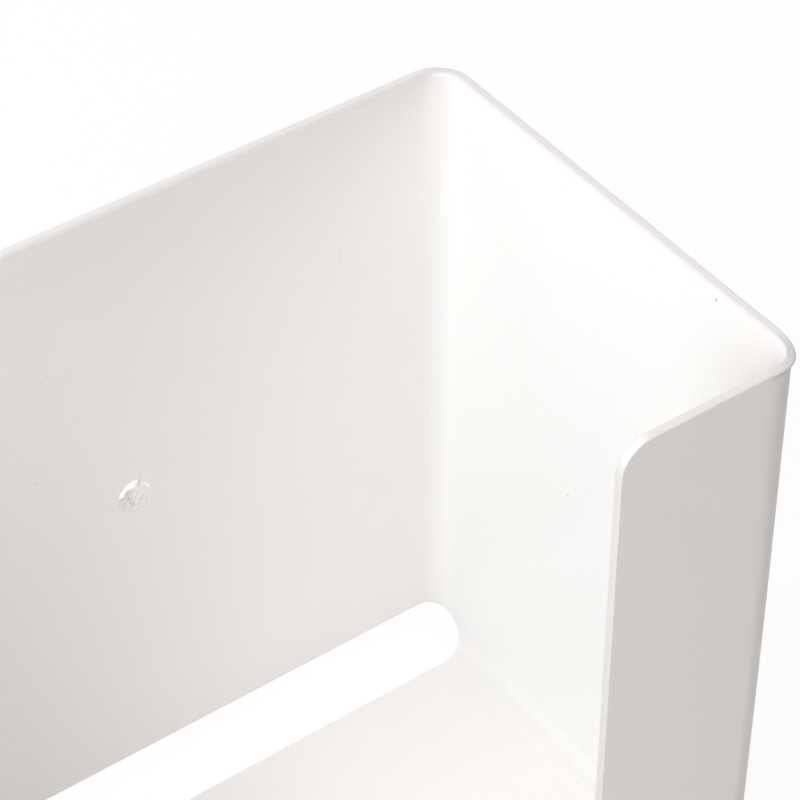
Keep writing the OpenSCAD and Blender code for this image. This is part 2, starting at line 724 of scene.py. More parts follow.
@dataclass
class MeshDraft:
    """Vertices, faces, normals and named vertex values gathered before a mesh is written."""

    points: List[np.ndarray] = field(default_factory=list)
    normals: List[np.ndarray] = field(default_factory=list)
    values: List[Dict[str, np.ndarray]] = field(default_factory=list)
    faces: List[np.ndarray] = field(default_factory=list)
    count: int = 0

    def add(
        self, points: np.ndarray, normals: Optional[np.ndarray] = None, **values: np.ndarray
    ) -> int:
        """Add vertices.

        Args:
            points: Rows of x, y, z in millimetres.
            normals: Unit normals, or None where Blender's own smooth normals will do.
            values: One array for each attribute that these vertices have; the others are 0 there.

        Returns:
            Index of the first vertex added.
        """
        first = self.count
        self.points.append(points)
        if normals is not None:
            self.normals.append(normals)
        self.values.append(values)
        self.count += len(points)
        return first

    def write(self, name: str) -> bpy.types.Object:
        """Make the mesh object in metres, with its attributes and any normals of its own.

        Args:
            name: Name of the object and mesh.

        Returns:
            The new object, linked to the scene.
        """
        mesh = bpy.data.meshes.new(name)
        faces = [row.tolist() for block in self.faces for row in block]
        mesh.from_pydata((np.concatenate(self.points) * MM).tolist(), [], faces)
        mesh.update()
        mesh.polygons.foreach_set("use_smooth", np.ones(len(mesh.polygons), bool))
        for label in sorted({label for block in self.values for label in block}):
            blocks = [
                block.get(label, np.zeros(len(points)))
                for block, points in zip(self.values, self.points)
            ]
            layer = mesh.attributes.new(label, "FLOAT", "POINT")
            layer.data.foreach_set("value", np.concatenate(blocks).astype(np.float32))
        if self.normals:
            mesh.normals_split_custom_set_from_vertices(np.concatenate(self.normals).tolist())
        return put_in_scene(name, mesh)


@dataclass
class BentSheet:
    """The dispenser's one piece: the blank's two faces and its cut rim, carried round the bends.

    The *_ease fields are how far an eased corner goes along a face, and inner_ease_w is how far
    the inner one goes down the rim. The rest set the mesh: flat_pitch is its grid on the flats,
    which keeps clear of the cut edges and of the lines beside the bends, and rim_rows are the
    depths of its rows under the rim.
    """

    blank: SheetBlank
    outer_ease: float = 0.3
    inner_ease: float = 0.8
    inner_ease_w: float = 0.72
    drilled_ease: float = 0.24
    low_share: float = 0.15
    low_from: float = 2.0
    low_top: float = 10.0
    # back_ease_shade, ease_shade_lead and ease_shade_short set painted shade on the inner eased
    # corner of the rim.
    back_ease_shade: float = 0.5
    ease_shade_lead: float = 2.0
    ease_shade_short: float = 4.0
    flat_pitch: float = 11.0
    clear: float = 0.08
    bend_clear: float = 3.0
    rim_clear: float = 9.0
    end_clear: float = 4.0
    rim_rows: Tuple[float, ...] = (
        0.52, 0.62, 0.71, 0.8, 0.89, 0.98, 1.08, 1.2, 1.45, 1.9, 2.5, 3.4, 4.6, 6.2, 8.5,
    )
    weld: float = 1e-5

    def __post_init__(self) -> None:
        """Set up the map from the blank to the bent sheet."""
        self.bends = BendMap(self.blank)

    def eased(self, loop: np.ndarray) -> np.ndarray:
        """Share of the easing along a cut edge: the low edges beside the gap are left sharper.

        Args:
            loop: The cut edge on the blank.

        Returns:
            low_share up to v = low_from, rising to 1 at low_top along a smooth step.
        """
        rise = smooth_step(self.low_from, self.low_top, loop[:, 1])
        return self.low_share + (1.0 - self.low_share) * rise

    def ease_shade_share(self, u: np.ndarray) -> np.ndarray:
        """Share of the painted shade on the inner eased corner of the rim.

        Args:
            u: Places along the strip.

        Returns:
            back_ease_shade on the back wall, rising to 1 just before the side walls and falling to
            0 from just before the front bends to the flanges.
        """
        b, along = self.blank, np.abs(u)
        rise = smooth_step(b.rear_bend_u - self.ease_shade_lead, b.side_u - self.ease_shade_short, along)
        rise = self.back_ease_shade + (1.0 - self.back_ease_shade) * rise
        return rise * (1.0 - smooth_step(b.front_bend_u - self.ease_shade_short, b.flange_u, along))

    def loops(self) -> List[Tuple[np.ndarray, RimProfile]]:
        """Cut edges of the blank, each with the section of its rim.

        Returns:
            The outline first and then the holes.
        """
        t = self.blank.sheet_t
        routed = RimProfile(t, self.outer_ease, self.outer_ease, self.inner_ease, self.inner_ease_w)
        drilled = RimProfile(t, *([self.drilled_ease] * 4), marks=CutMarks.ROUND)
        cuts = [(self.blank.outline(), routed)]
        cuts += [(self.blank.hole(side), drilled) for side in Side]
        return cuts

    def grid_points(self) -> np.ndarray:
        """Inner points of the faces: a coarse grid on the flats and a fine one in the bends.

        Returns:
            Rows of u, v, before those too near a cut edge are taken out.
        """
        b = self.blank
        flats = [
            np.arange(0.0, b.rear_bend_u, self.flat_pitch),
            np.arange(b.side_u + self.bend_clear, b.front_bend_u, self.flat_pitch),
            np.arange(b.flange_u + self.bend_clear, b.end_u, self.flat_pitch),
        ]
        right = np.concatenate(flats)
        us = np.unique(np.concatenate((-right, right, b.bend_lines_u())))
        rim = b.height - np.array(self.rim_rows)
        walls = np.arange(b.bend_r, b.height - self.rim_clear, self.flat_pitch)
        vs_high = np.unique(np.concatenate((walls, rim)))
        upper = np.stack(np.meshgrid(us, vs_high), axis=-1).reshape(-1, 2)
        side_us = us[(np.abs(us) >= b.side_u) & (np.abs(us) <= b.front_bend_u)]
        tabs = np.arange(b.end_v + self.end_clear, b.tab_v, self.flat_pitch)
        vs_low = np.concatenate((tabs, b.bend_lines_v()))
        lower = np.stack(np.meshgrid(side_us, vs_low), axis=-1).reshape(-1, 2)
        points = np.concatenate((upper, lower))
        _, first = np.unique(np.round(points, 5), axis=0, return_index=True)
        return points[np.sort(first)]

    def face_mesh(self, insets: Sequence[np.ndarray]) -> Tuple[np.ndarray, np.ndarray]:
        """Triangles that fill the blank between its inset cut edges.

        Args:
            insets: Closed loops, the outline first and then the holes.

        Returns:
            Points, whose first rows are the loops in order, and rows of three indices.
        """
        inner = self.grid_points()
        keep = inside_loop(inner, insets[0])
        keep &= loop_distance(inner, insets[0]) > self.clear
        for hole in insets[1:]:
            keep &= ~inside_loop(inner, hole) & (loop_distance(inner, hole) > self.clear)
        points = np.concatenate([*insets, inner[keep]])
        edges: List[Tuple[int, int]] = []
        first = 0
        for loop in insets:
            index = np.arange(len(loop))
            edges += [(first + i, first + (i + 1) % len(loop)) for i in index.tolist()]
            first += len(loop)
        places = [Vector(p) for p in points.tolist()]
        result = delaunay_2d_cdt(places, edges, [], 0, self.weld)
        origin = np.array([own[0] for own in result[3]])
        triangles = origin[np.array([list(f) for f in result[2]])]
        centre = points[triangles].mean(axis=1)
        inside = inside_loop(centre, insets[0])
        for hole in insets[1:]:
            inside &= ~inside_loop(centre, hole)
        triangles = triangles[inside]
        one = points[triangles[:, 1]] - points[triangles[:, 0]]
        two = points[triangles[:, 2]] - points[triangles[:, 0]]
        clockwise = one[:, 0] * two[:, 1] < two[:, 0] * one[:, 1]
        triangles[clockwise] = triangles[clockwise][:, ::-1]
        return points, triangles

    def build(self, name: str) -> bpy.types.Object:
        """Make the sheet's mesh.

        Each face is the filled blank at w = +-t/2, with the normal d/du x d/dv of the bend map
        turned outward. The rim is the section carried round each cut edge, and its normal is the
        cross product of the run round the cut and the run down the section.

        Args:
            name: Name of the object.

        Returns:
            The new object.
        """
        cuts = self.loops()
        half = self.blank.sheet_t / 2.0
        draft = MeshDraft()
        starts: Dict[Face, int] = {}
        for face in Face:
            insets = [
                loop + loop_inward(loop) * (profile.inset(face) * self.eased(loop))[:, None]
                for loop, profile in cuts
            ]
            points, triangles = self.face_mesh(insets)
            u, v, w = points[:, 0], points[:, 1], np.full(len(points), face.value * half)
            placed = self.bends.place(u, v, w)
            along_u, along_v, _ = self.bends.partials(u, v, w)
            normal = unit(np.cross(along_v, along_u)) * face.value
            # The outer face carries lip_fold, painted shade in the crease under the front lip; the
            # inner face carries heat_mark, painted shade in the bends.
            if face is Face.OUTER:
                values = {"lip_fold": self.bends.fold(u, v)}
            else:
                values = {"heat_mark": self.bends.bend_shade_share(u, v)}
            starts[face] = draft.add(placed, normal, **values)
            order = triangles if self.faces_out(face) else triangles[:, ::-1]
            draft.faces.append(order + starts[face])
        first = 0
        for loop, profile in cuts:
            ends = (starts[Face.OUTER] + first, starts[Face.INNER] + first)
            self.add_rim(draft, loop, profile, ends)
            first += len(loop)
        return draft.write(name)

    @staticmethod
    def faces_out(face: Face) -> bool:
        """Whether triangles that are anticlockwise in (u, v) face out of the sheet on this face."""
        return face is Face.INNER

    def add_rim(
        self, draft: MeshDraft, loop: np.ndarray, profile: RimProfile, starts: Tuple[int, int]
    ) -> None:
        """Add the rim round one cut edge.

        On the inner corner cut_grey, painted shade, is greyed times the sine of twice the section's
        slope, so that it is strongest halfway round the corner. cut_side is painted shade on the
        rims that face sideways, and lip_fold carries the crease's painted shade onto the outer
        rows.

        Args:
            draft: Mesh to add to.
            loop: The cut edge on the blank.
            profile: Section of the rim.
            starts: First vertices of this edge's loops on the outer and the inner face.
        """
        inset, height, runs = profile.section()
        across = profile.marks is CutMarks.ACROSS
        half, share = self.blank.sheet_t / 2.0, self.eased(loop)
        inward = loop_inward(loop)
        onward = np.column_stack((inward[:, 1], -inward[:, 0]))
        count = len(loop)
        step = np.linalg.norm(np.roll(loop, -1, axis=0) - loop, axis=1)
        along = np.concatenate(([0.0], np.cumsum(step[:-1])))
        rows = [starts[0] + np.arange(count)]
        for level, depth, (run_in, run_w) in list(zip(height, inset, runs))[1:-1]:
            place = loop + inward * (depth * share)[:, None]
            face_w = math.copysign(half, level)
            u, v, w = place[:, 0], place[:, 1], face_w + (level - face_w) * share
            along_u, along_v, along_w = self.bends.partials(u, v, w)
            round_cut = along_u * onward[:, 0:1] + along_v * onward[:, 1:2]
            into = along_u * inward[:, 0:1] + along_v * inward[:, 1:2]
            normal = unit(np.cross(round_cut, into * run_in + along_w * run_w))
            corner = -2.0 * run_in * run_w if level < 0.0 else 0.0
            # cut_grey is painted shade on the inner eased corner, cut_side painted shade on rims
            # that face sideways, and lip_fold the crease's painted shade.
            first = draft.add(
                self.bends.place(u, v, w),
                normal,
                cut_rim=np.full(count, abs(run_w)),
                cut_run=along if across else np.full(count, level),
                cut_side=inward[:, 0] ** 2 if across else np.zeros(count),
                cut_grey=self.ease_shade_share(u) * corner,
                lip_fold=self.bends.fold(u, v) * (level > 0.0),
            )
            rows.append(first + np.arange(count))
        rows.append(starts[1] + np.arange(count))
        for upper, lower in zip(rows[:-1], rows[1:]):
            quads = np.column_stack((upper, lower, np.roll(lower, -1), np.roll(upper, -1)))
            draft.faces.append(quads[:, ::-1])


class Bench:
    """Nodes of one material, world or node group, with short calls that add and join them."""

    def __init__(self, tree: bpy.types.NodeTree) -> None:
        """Take the tree that the nodes go into."""
        self.nodes, self.links = tree.nodes, tree.links

    def feed(self, value: Feed, socket: Socket) -> None:
        """Link a socket or a node's first output to an input, or set a constant on it.

        Args:
            value: Output socket, node, number or tuple; a colour has three numbers.
            socket: Input that takes it.
        """
        if isinstance(value, bpy.types.Node):
            value = value.outputs[0]
        if isinstance(value, bpy.types.NodeSocket):
            self.links.new(value, socket)
        else:
            socket.default_value = (*value, 1.0) if socket.type == "RGBA" else value

    def add(self, kind: str, *inputs: Feed, **named: Feed) -> bpy.types.Node:
        """Add a node and feed its inputs.

        Args:
            kind: Blender's name of the node, without ShaderNode.
            *inputs: What its first inputs take, in order.
            **named: What other inputs take, by name.

        Returns:
            The node.
        """
        node = self.nodes.new("ShaderNode" + kind)
        for value, socket in zip(inputs, node.inputs):
            self.feed(value, socket)
        for label, value in named.items():
            self.feed(value, node.inputs[label])
        return node

    def math(self, operation: str, *inputs: Feed) -> Socket:
        """Add a Math node.

        Args:
            operation: Blender's name of the operation.
            *inputs: Its two or three inputs.

        Returns:
            Its result.
        """
        node = self.add("Math", *inputs)
        node.operation = operation
        return node.outputs[0]

    def vector(self, operation: str, *inputs: Feed) -> Socket:
        """Add a Vector Math node.

        Args:
            operation: Blender's name of the operation.
            *inputs: Its inputs.

        Returns:
            The vector, or the number for LENGTH.
        """
        node = self.add("VectorMath", *inputs)
        node.operation = operation
        return node.outputs["Value" if operation == "LENGTH" else "Vector"]

    def spread(self, value: Feed, span: Pair, result: Pair = (0.0, 1.0)) -> Socket:
        """Smooth step of a value from one range to another.

        Args:
            value: Value to map.
            span: Start and end of its range.
            result: What it becomes at the start and at the end.

        Returns:
            The mapped value.
        """
        node = self.add("MapRange", value, *span, *result)
        node.interpolation_type = "SMOOTHSTEP"
        return node.outputs[0]

    def blend(self, share: Feed, first: Feed, second: Feed) -> Socket:
        """Mix two colours.

        Args:
            share: Share of the second.
            first: First colour.
            second: Second colour.

        Returns:
            The mixed colour.
        """
        node = self.nodes.new("ShaderNodeMix")
        node.data_type = "RGBA"
        for value, place in zip((share, first, second), COLOUR_MIX_INPUTS):
            self.feed(value, node.inputs[place])
        return node.outputs[COLOUR_MIX_RESULT]

    def noise(self, where: Feed, scale: float, detail: float, roughness: float) -> Socket:
        """Add a 3-D Noise Texture.

        Args:
            where: Coordinates, in metres.
            scale: Cells per metre.
            detail: Octaves.
            roughness: Weight of the finer octaves.

        Returns:
            Its value, about 0.5.
        """
        return self.add(
            "TexNoise", where, Scale=scale, Detail=detail, Roughness=roughness
        ).outputs[0]

    def bump(self, height: Feed, strength: float, depth: float) -> Socket:
        """Add a Bump node.

        Args:
            height: Height, 0 to about 1.
            strength: Share of the effect.
            depth: Depth of a height of 1, in millimetres.

        Returns:
            The bent normal.
        """
        return self.add("Bump", Strength=strength, Distance=depth * MM, Height=height).outputs[0]

    def where(self) -> Socket:
        """Object coordinates, in metres."""
        return self.nodes.new("ShaderNodeTexCoord").outputs["Object"]

    def attribute(self, name: str) -> Socket:
        """Value of a mesh attribute.

        Args:
            name: Name of the attribute.

        Returns:
            Its number.
        """
        node = self.nodes.new("ShaderNodeAttribute")
        node.attribute_name = name
        return node.outputs["Fac"]

    def group(self, tree: bpy.types.NodeTree, **inputs: Feed) -> bpy.types.Node:
        """Place a node group.

        Args:
            tree: The group.
            **inputs: Values of its inputs, by name.

        Returns:
            The group node.
        """
        node = self.nodes.new("ShaderNodeGroup")
        node.node_tree = tree
        for name, value in inputs.items():
            self.feed(value, node.inputs[name])
        return node

    def seen_directly(self) -> Socket:
        """Whether a surface is seen directly, from Light Path.

        Returns:
            1 for camera, glossy and transmission rays and 0 for the rest.
        """
        path = self.nodes.new("ShaderNodeLightPath").outputs
        pair = self.math("MAXIMUM", path["Is Camera Ray"], path["Is Glossy Ray"])
        return self.math("MAXIMUM", pair, path["Is Transmission Ray"])


class GroupBench(Bench):
    """A bench on a new shader node group."""

    def __init__(self, name: str, inputs: Dict[str, str], outputs: Sequence[str]) -> None:
        """Make the group with its sockets.

        Args:
            name: Name of the group.
            inputs: Kind of each input, Vector or Float, by its name.
            outputs: Names of its number outputs.
        """
        self.tree = bpy.data.node_groups.new(name, "ShaderNodeTree")
        super().__init__(self.tree)
        sockets = self.tree.interface
        for label, kind in inputs.items():
            sockets.new_socket(name=label, in_out="INPUT", socket_type="NodeSocket" + kind)
        for label in outputs:
            sockets.new_socket(name=label, in_out="OUTPUT", socket_type="NodeSocketFloat")
        self.given = self.nodes.new("NodeGroupInput").outputs
        self.result = self.nodes.new("NodeGroupOutput").inputs


class MaterialBench(Bench):
    """A bench on a new material with its Principled BSDF."""

    def __init__(self, name: str) -> None:
        """Make the material.

        Args:
            name: Name of the material.
        """
        self.material = bpy.data.materials.new(name)
        self.material.use_nodes = True
        super().__init__(self.material.node_tree)

    def dress(self, colour: Socket, roughness: Socket, normal: Socket) -> bpy.types.NodeInputs:
        """Feed the Principled BSDF.

        Args:
            colour: Base colour.
            roughness: Roughness.
            normal: Normal.

        Returns:
            The shader's inputs, for its constants.
        """
        inputs = self.nodes["Principled BSDF"].inputs
        self.feed(colour, inputs["Base Color"])
        self.feed(roughness, inputs["Roughness"])
        self.feed(normal, inputs["Normal"])
        return inputs


@dataclass
class Effects:
    """The node groups that the finishes share, each built once.

    A pair named *_sizes or *_strengths is the least value and how much a grain's own random
    number adds to it; one named *_span is where a smooth step starts and ends.
    """

    dust_shift: Triple = (0.0137, 0.0071, 0.0213)
    dust_sizes: Pair = (0.35, 0.9)
    dust_strengths: Pair = (0.15, 0.85)
    dust_core: float = 0.35
    mark_core: float = 0.45
    cloud_cells: float = 21.0
    cloud_span: Pair = (0.32, 0.68)
    pit_cells: float = 1900.0
    pit_span: Pair = (0.62, 0.76)
    fine_weight: float = 0.6

    def __post_init__(self) -> None:
        """Build the groups."""
        self.dust = self.dust_group()
        self.mark = self.mark_group()
        self.haze = self.haze_group()
        self.grain = self.grain_group()

    def dust_group(self) -> bpy.types.NodeTree:
        """Settled dust: dots round those points of a Voronoi texture that lie by the surface.

        Returns:
            The group.
        """
        kinds = {"Where": "Vector", "Scale": "Float", "Size": "Float"}
        bench = GroupBench("settled_dust", kinds, ("Mask",))
        shifted = bench.vector("ADD", bench.given["Where"], self.dust_shift)
        cells = bench.add("TexVoronoi", shifted, Scale=bench.given["Scale"]).outputs
        own = bench.add("SeparateColor", cells["Color"]).outputs
        size = bench.math("MULTIPLY_ADD", own[0], self.dust_sizes[1], self.dust_sizes[0])
        reach = bench.math("MULTIPLY", bench.given["Size"], size)
        share = bench.math("DIVIDE", cells["Distance"], reach)
        dot = bench.spread(share, (self.dust_core, 1.0), (1.0, 0.0))
        low, more = self.dust_strengths
        strength = bench.math("MULTIPLY_ADD", own[1], more, low)
        bench.feed(bench.math("MULTIPLY", dot, strength), bench.result["Mask"])
        return bench.tree

    def mark_group(self) -> bpy.types.NodeTree:
        """One mark at a known place: 1 inside an ellipsoid, with a soft edge.

        Returns:
            The group.
        """
        kinds = {"Where": "Vector", "Centre": "Vector", "Half": "Vector"}
        bench = GroupBench("placed_mark", kinds, ("Mask",))
        offset = bench.vector("SUBTRACT", bench.given["Where"], bench.given["Centre"])
        reach = bench.vector("LENGTH", bench.vector("DIVIDE", offset, bench.given["Half"]))
        inside = bench.spread(reach, (self.mark_core, 1.0), (1.0, 0.0))
        bench.feed(inside, bench.result["Mask"])
        return bench.tree

    def haze_group(self) -> bpy.types.NodeTree:
        """Wiped haze: broad soft clouds where a cloth went over the plastic.

        Returns:
            The group.
        """
        bench = GroupBench("wiped_haze", {"Where": "Vector"}, ("Clouds",))
        clouds = bench.noise(bench.given["Where"], self.cloud_cells, 1.0, 0.5)
        bench.feed(bench.spread(clouds, self.cloud_span), bench.result["Clouds"])
        return bench.tree

    def grain_group(self) -> bpy.types.NodeTree:
        """Cutter's marks: 1-D noise of the run along a rim, and pits where the plastic tore.

        Returns:
            The group.
        """
        kinds = {"Where": "Vector", "Run": "Float", "Pitch": "Float"}
        bench = GroupBench("cutter_grain", kinds, ("Ridges", "Pits"))
        ridges = bench.nodes.new("ShaderNodeTexNoise")
        ridges.noise_dimensions = "1D"
        turns = bench.math("DIVIDE", bench.given["Run"], bench.given["Pitch"])
        values = (("W", turns), ("Scale", 1.0), ("Detail", 1.0), ("Roughness", self.fine_weight))
        for label, value in values:
            bench.feed(value, ridges.inputs[label])
        bench.feed(ridges, bench.result["Ridges"])
        pits = bench.noise(bench.given["Where"], self.pit_cells, 1.0, self.fine_weight)
        bench.feed(bench.spread(pits, self.pit_span), bench.result["Pits"])
        return bench.tree


@dataclass(frozen=True)
class Mark:
    """A dust grain or scuff that the photograph shows, in millimetres, and how dark it is."""

    centre: Triple
    half: Triple
    depth: float


@dataclass(frozen=True)
class WhiteSheet:
    """Semi-gloss white sheet plastic: duller routed rims, dust and faint haze, and painted light.

    The rims are painted lighter, and darker where they face sideways; painted shade darkens the
    inner side of the bends, the inner eased corner of the rim and the crease under the front lip.

    The *_share fields are the strongest share of a colour or height, the *_dull ones what is
    added to the roughness, and the *_cells ones cells per metre.
    """

    colour: Triple = (0.86, 0.853, 0.843)
    # lit_rim_colour is painted light: the rims lighter and cooler than the sheet.
    # shaded_side_rim_colour is painted shade on the rims that face sideways.
    lit_rim_colour: Triple = (0.93, 0.925, 0.935)
    shaded_side_rim_colour: Triple = (0.66, 0.655, 0.65)
    # ease_shade_colour is painted shade on the inner eased corner of the rim.
    ease_shade_colour: Triple = (0.7, 0.695, 0.69)
    # bend_shade_colour is painted shade on the inner side of the rear and the tab bends.
    bend_shade_colour: Triple = (0.79, 0.78, 0.77)
    # dust_and_crease_shade_colour is the dust's colour and also the painted shade in the crease
    # under the front lip.
    dust_and_crease_shade_colour: Triple = (0.42, 0.39, 0.36)
    scuff_colour: Triple = (0.68, 0.66, 0.63)
    roughness: float = 0.3
    rim_roughness: float = 0.44
    ior: float = 1.49
    dust_cells: float = 170.0
    dust_size: float = 0.052
    dust_share: float = 0.4
    dust_dull: float = 0.35
    # crease_shade_share is the strength of the painted shade in that crease.
    crease_shade_share: float = 0.85
    haze_share: float = 0.02
    haze_dull: float = 0.07
    grain_pitch: float = 0.55
    grain_share: float = 0.9
    grain_dull: float = 0.12
    pit_share: float = 0.16
    peel_cells: float = 420.0
    peel_share: float = 0.12
    bump_share: float = 0.35
    bump_depth: float = 0.08
    marks: Tuple[Mark, ...] = (
        Mark((131.0, 7.3, 72.8), (0.5, 0.32, 0.32), 0.75),
        Mark((131.0, 2.1, 77.6), (0.5, 0.22, 0.25), 0.5),
        Mark((127.6, 46.9, 13.8), (0.9, 0.9, 0.3), 0.65),
        Mark((107.5, 48.0, 115.7), (0.16, 0.5, 1.9), 0.16),
        Mark((131.0, -28.6, 146.8), (0.5, 0.3, 0.45), 0.95),
        Mark((76.7, 48.0, 93.3), (0.3, 0.5, 0.25), 0.22),
        Mark((40.7, 48.0, 95.2), (0.35, 0.5, 0.3), 0.3),
        Mark((114.7, 48.0, 45.1), (0.28, 0.5, 0.3), 0.3),
        Mark((98.5, 48.0, 107.8), (0.35, 0.5, 0.25), 0.2),
        Mark((124.7, 48.0, 88.6), (0.35, 0.6, 0.2), 0.25),
        Mark((127.6, 47.6, 65.6), (0.5, 0.7, 0.22), 0.3),
        Mark((54.1, 48.0, 97.4), (0.3, 0.5, 0.3), 0.2),
        Mark((55.5, 48.0, 37.6), (0.35, 0.5, 0.25), 0.22),
        Mark((114.9, -50.0, 122.1), (0.35, 0.5, 0.3), 0.3),
        Mark((103.2, -50.0, 85.1), (0.3, 0.5, 0.3), 0.25),
        Mark((131.0, -1.3, 132.9), (0.5, 0.3, 0.22), 0.2),
    )

    def grains(self, bench: Bench, effects: Effects, where: Socket) -> Socket:
        """Dust on the faces: settled grains and the placed marks, the stronger one at a place.

        Args:
            bench: Where the nodes go.
            effects: The shared node groups.
            where: Object coordinates.

        Returns:
            How much of the dust's colour shows.
        """
        settled = bench.group(
            effects.dust, Where=where, Scale=self.dust_cells, Size=self.dust_size
        )
        dust = bench.math("MULTIPLY", settled, self.dust_share)
        for mark in self.marks:
            centre, half = (tuple(c * MM for c in row) for row in (mark.centre, mark.half))
            spot = bench.group(effects.mark, Where=where, Centre=centre, Half=half)
            dust = bench.math("MAXIMUM", dust, bench.math("MULTIPLY", spot, mark.depth))
        return dust

    def build(self, effects: Effects) -> bpy.types.Material:
        """Make the material.

        Args:
            effects: The shared node groups.

        Returns:
            The material.
        """
        bench = MaterialBench("white_sheet")
        where, rim = bench.where(), bench.attribute("cut_rim")
        clouds = bench.group(effects.haze, Where=where)
        dust = self.grains(bench, effects, where)
        run = bench.attribute("cut_run")
        grain = bench.group(effects.grain, Where=where, Run=run, Pitch=self.grain_pitch).outputs
        # Painted shade: heat_mark darkens the inner side of the rear and the tab bends.
        base = bench.blend(bench.attribute("heat_mark"), self.colour, self.bend_shade_colour)
        cloudy = bench.math("MULTIPLY", clouds, self.haze_share)
        base = bench.blend(cloudy, base, self.scuff_colour)
        # Painted shade: lip_fold darkens the crease under the front lip toward the dust's colour.
        crease_shade = bench.math("MULTIPLY", bench.attribute("lip_fold"), self.crease_shade_share)
        base = bench.blend(bench.math("MAXIMUM", dust, crease_shade), base, self.dust_and_crease_shade_colour)
        # Painted light and shade on the rims: lit_rim_colour lighter, shaded_side_rim_colour darker
        # where cut_side marks a rim that faces sideways.
        cut = bench.blend(bench.attribute("cut_side"), self.lit_rim_colour, self.shaded_side_rim_colour)
        pitted = bench.math("MULTIPLY", grain["Pits"], self.pit_share)
        cut = bench.blend(pitted, cut, self.scuff_colour)
        edged = bench.blend(rim, base, cut)
        # Painted shade: cut_grey darkens the inner eased corner of the rim.
        edged = bench.blend(bench.attribute("cut_grey"), edged, self.ease_shade_colour)
        smooth = bench.math("MULTIPLY_ADD", clouds, self.haze_dull, self.roughness)
        smooth = bench.math("MULTIPLY_ADD", dust, self.dust_dull, smooth)
        dull = bench.math("MULTIPLY_ADD", grain["Ridges"], self.grain_dull, self.rim_roughness)
        rough = bench.math("MULTIPLY_ADD", rim, bench.math("SUBTRACT", dull, smooth), smooth)
        ridges = bench.math("MULTIPLY", grain["Ridges"], rim)
        ridges = bench.math("MULTIPLY", ridges, self.grain_share)
        peel = bench.noise(where, self.peel_cells, 0.0, 0.5)
        height = bench.math("MULTIPLY_ADD", peel, self.peel_share, ridges)
        inputs = bench.dress(edged, rough, bench.bump(height, self.bump_share, self.bump_depth))
        inputs["IOR"].default_value = self.ior
        return bench.material


@dataclass(frozen=True)
class TornPlastic:
    """Raw plastic torn by a drill: matt, faintly mottled, with dust caught in its pits."""

    colour: Triple = (0.86, 0.85, 0.835)
    pit_colour: Triple = (0.4, 0.37, 0.35)
    chip_colour: Triple = (0.97, 0.97, 0.9)
    roughness: float = 0.5
    dirt_dull: float = 0.25
    dirt_cells: float = 1500.0
    dirt_span: Pair = (0.56, 0.7)
    dirt_share: float = 0.9
    speck_cells: float = 1100.0
    speck_size: float = 0.2
    speck_share: float = 0.4
    torn_cells: float = 2100.0
    octaves: float = 2.0
    fine_weight: float = 0.6
    bump_share: float = 0.5
    bump_depth: float = 0.2

    def build(self, effects: Effects) -> bpy.types.Material:
        """Make the material.

        Args:
            effects: The shared node groups.

        Returns:
            The material.
        """
        bench = MaterialBench("torn_plastic")
        where = bench.where()
        mottled = bench.noise(where, self.dirt_cells, self.octaves, self.fine_weight)
        dirt = bench.spread(mottled, self.dirt_span, (0.0, self.dirt_share))
        specks = bench.group(
            effects.dust, Where=where, Scale=self.speck_cells, Size=self.speck_size
        )
        shade = bench.math("MAXIMUM", dirt, bench.math("MULTIPLY", specks, self.speck_share))
        sooty = bench.math("MULTIPLY", shade, bench.attribute("web_dirt"))
        base = bench.blend(bench.attribute("chip_share"), self.colour, self.chip_colour)
        base = bench.blend(sooty, base, self.pit_colour)
        rough = bench.math("MULTIPLY_ADD", shade, self.dirt_dull, self.roughness)
        torn = bench.noise(where, self.torn_cells, self.octaves, self.fine_weight)
        bench.dress(base, rough, bench.bump(torn, self.bump_share, self.bump_depth))
        return bench.material


class Ripple:
    """Smooth seeded unevenness: a sum of sine waves whose directions and phases are drawn once."""

    def __init__(self, seed: int, longest: float, shortest: float, waves: int = 26) -> None:
        """Draw the waves.

        Args:
            seed: Seed of the draw.
            longest: Longest wave, in millimetres.
            shortest: Shortest wave, in millimetres.
            waves: Number of waves.
        """
        draw = np.random.default_rng(seed)
        length = np.exp(draw.uniform(math.log(shortest), math.log(longest), waves))
        turn = draw.uniform(0.0, 2.0 * math.pi, waves)
        self.kx = 2.0 * math.pi / length * np.cos(turn)
        self.kz = 2.0 * math.pi / length * np.sin(turn)
        self.phase = draw.uniform(0.0, 2.0 * math.pi, waves)
        self.weight = length / np.sqrt(np.sum(length**2) / 2.0)

    def at(self, x: np.ndarray, z: np.ndarray) -> np.ndarray:
        """Unevenness at places: sum of weight * sin(k . p + phase)."""
        wave = np.sin(x[..., None] * self.kx + z[..., None] * self.kz + self.phase)
        return wave @ self.weight


@dataclass(frozen=True)
class Dent:
    """A soft round hollow at local x, z, with its half widths and its depth."""

    x: float
    z: float
    half_x: float
    half_z: float
    depth: float

    def at(self, x: np.ndarray, z: np.ndarray) -> np.ndarray:
        """Depth at x, z: depth * exp(-((x - own x) / half_x)^2 - ((z - own z) / half_z)^2)."""
        off_x, off_z = (x - self.x) / self.half_x, (z - self.z) / self.half_z
        return self.depth * np.exp(-(off_x**2) - off_z**2)


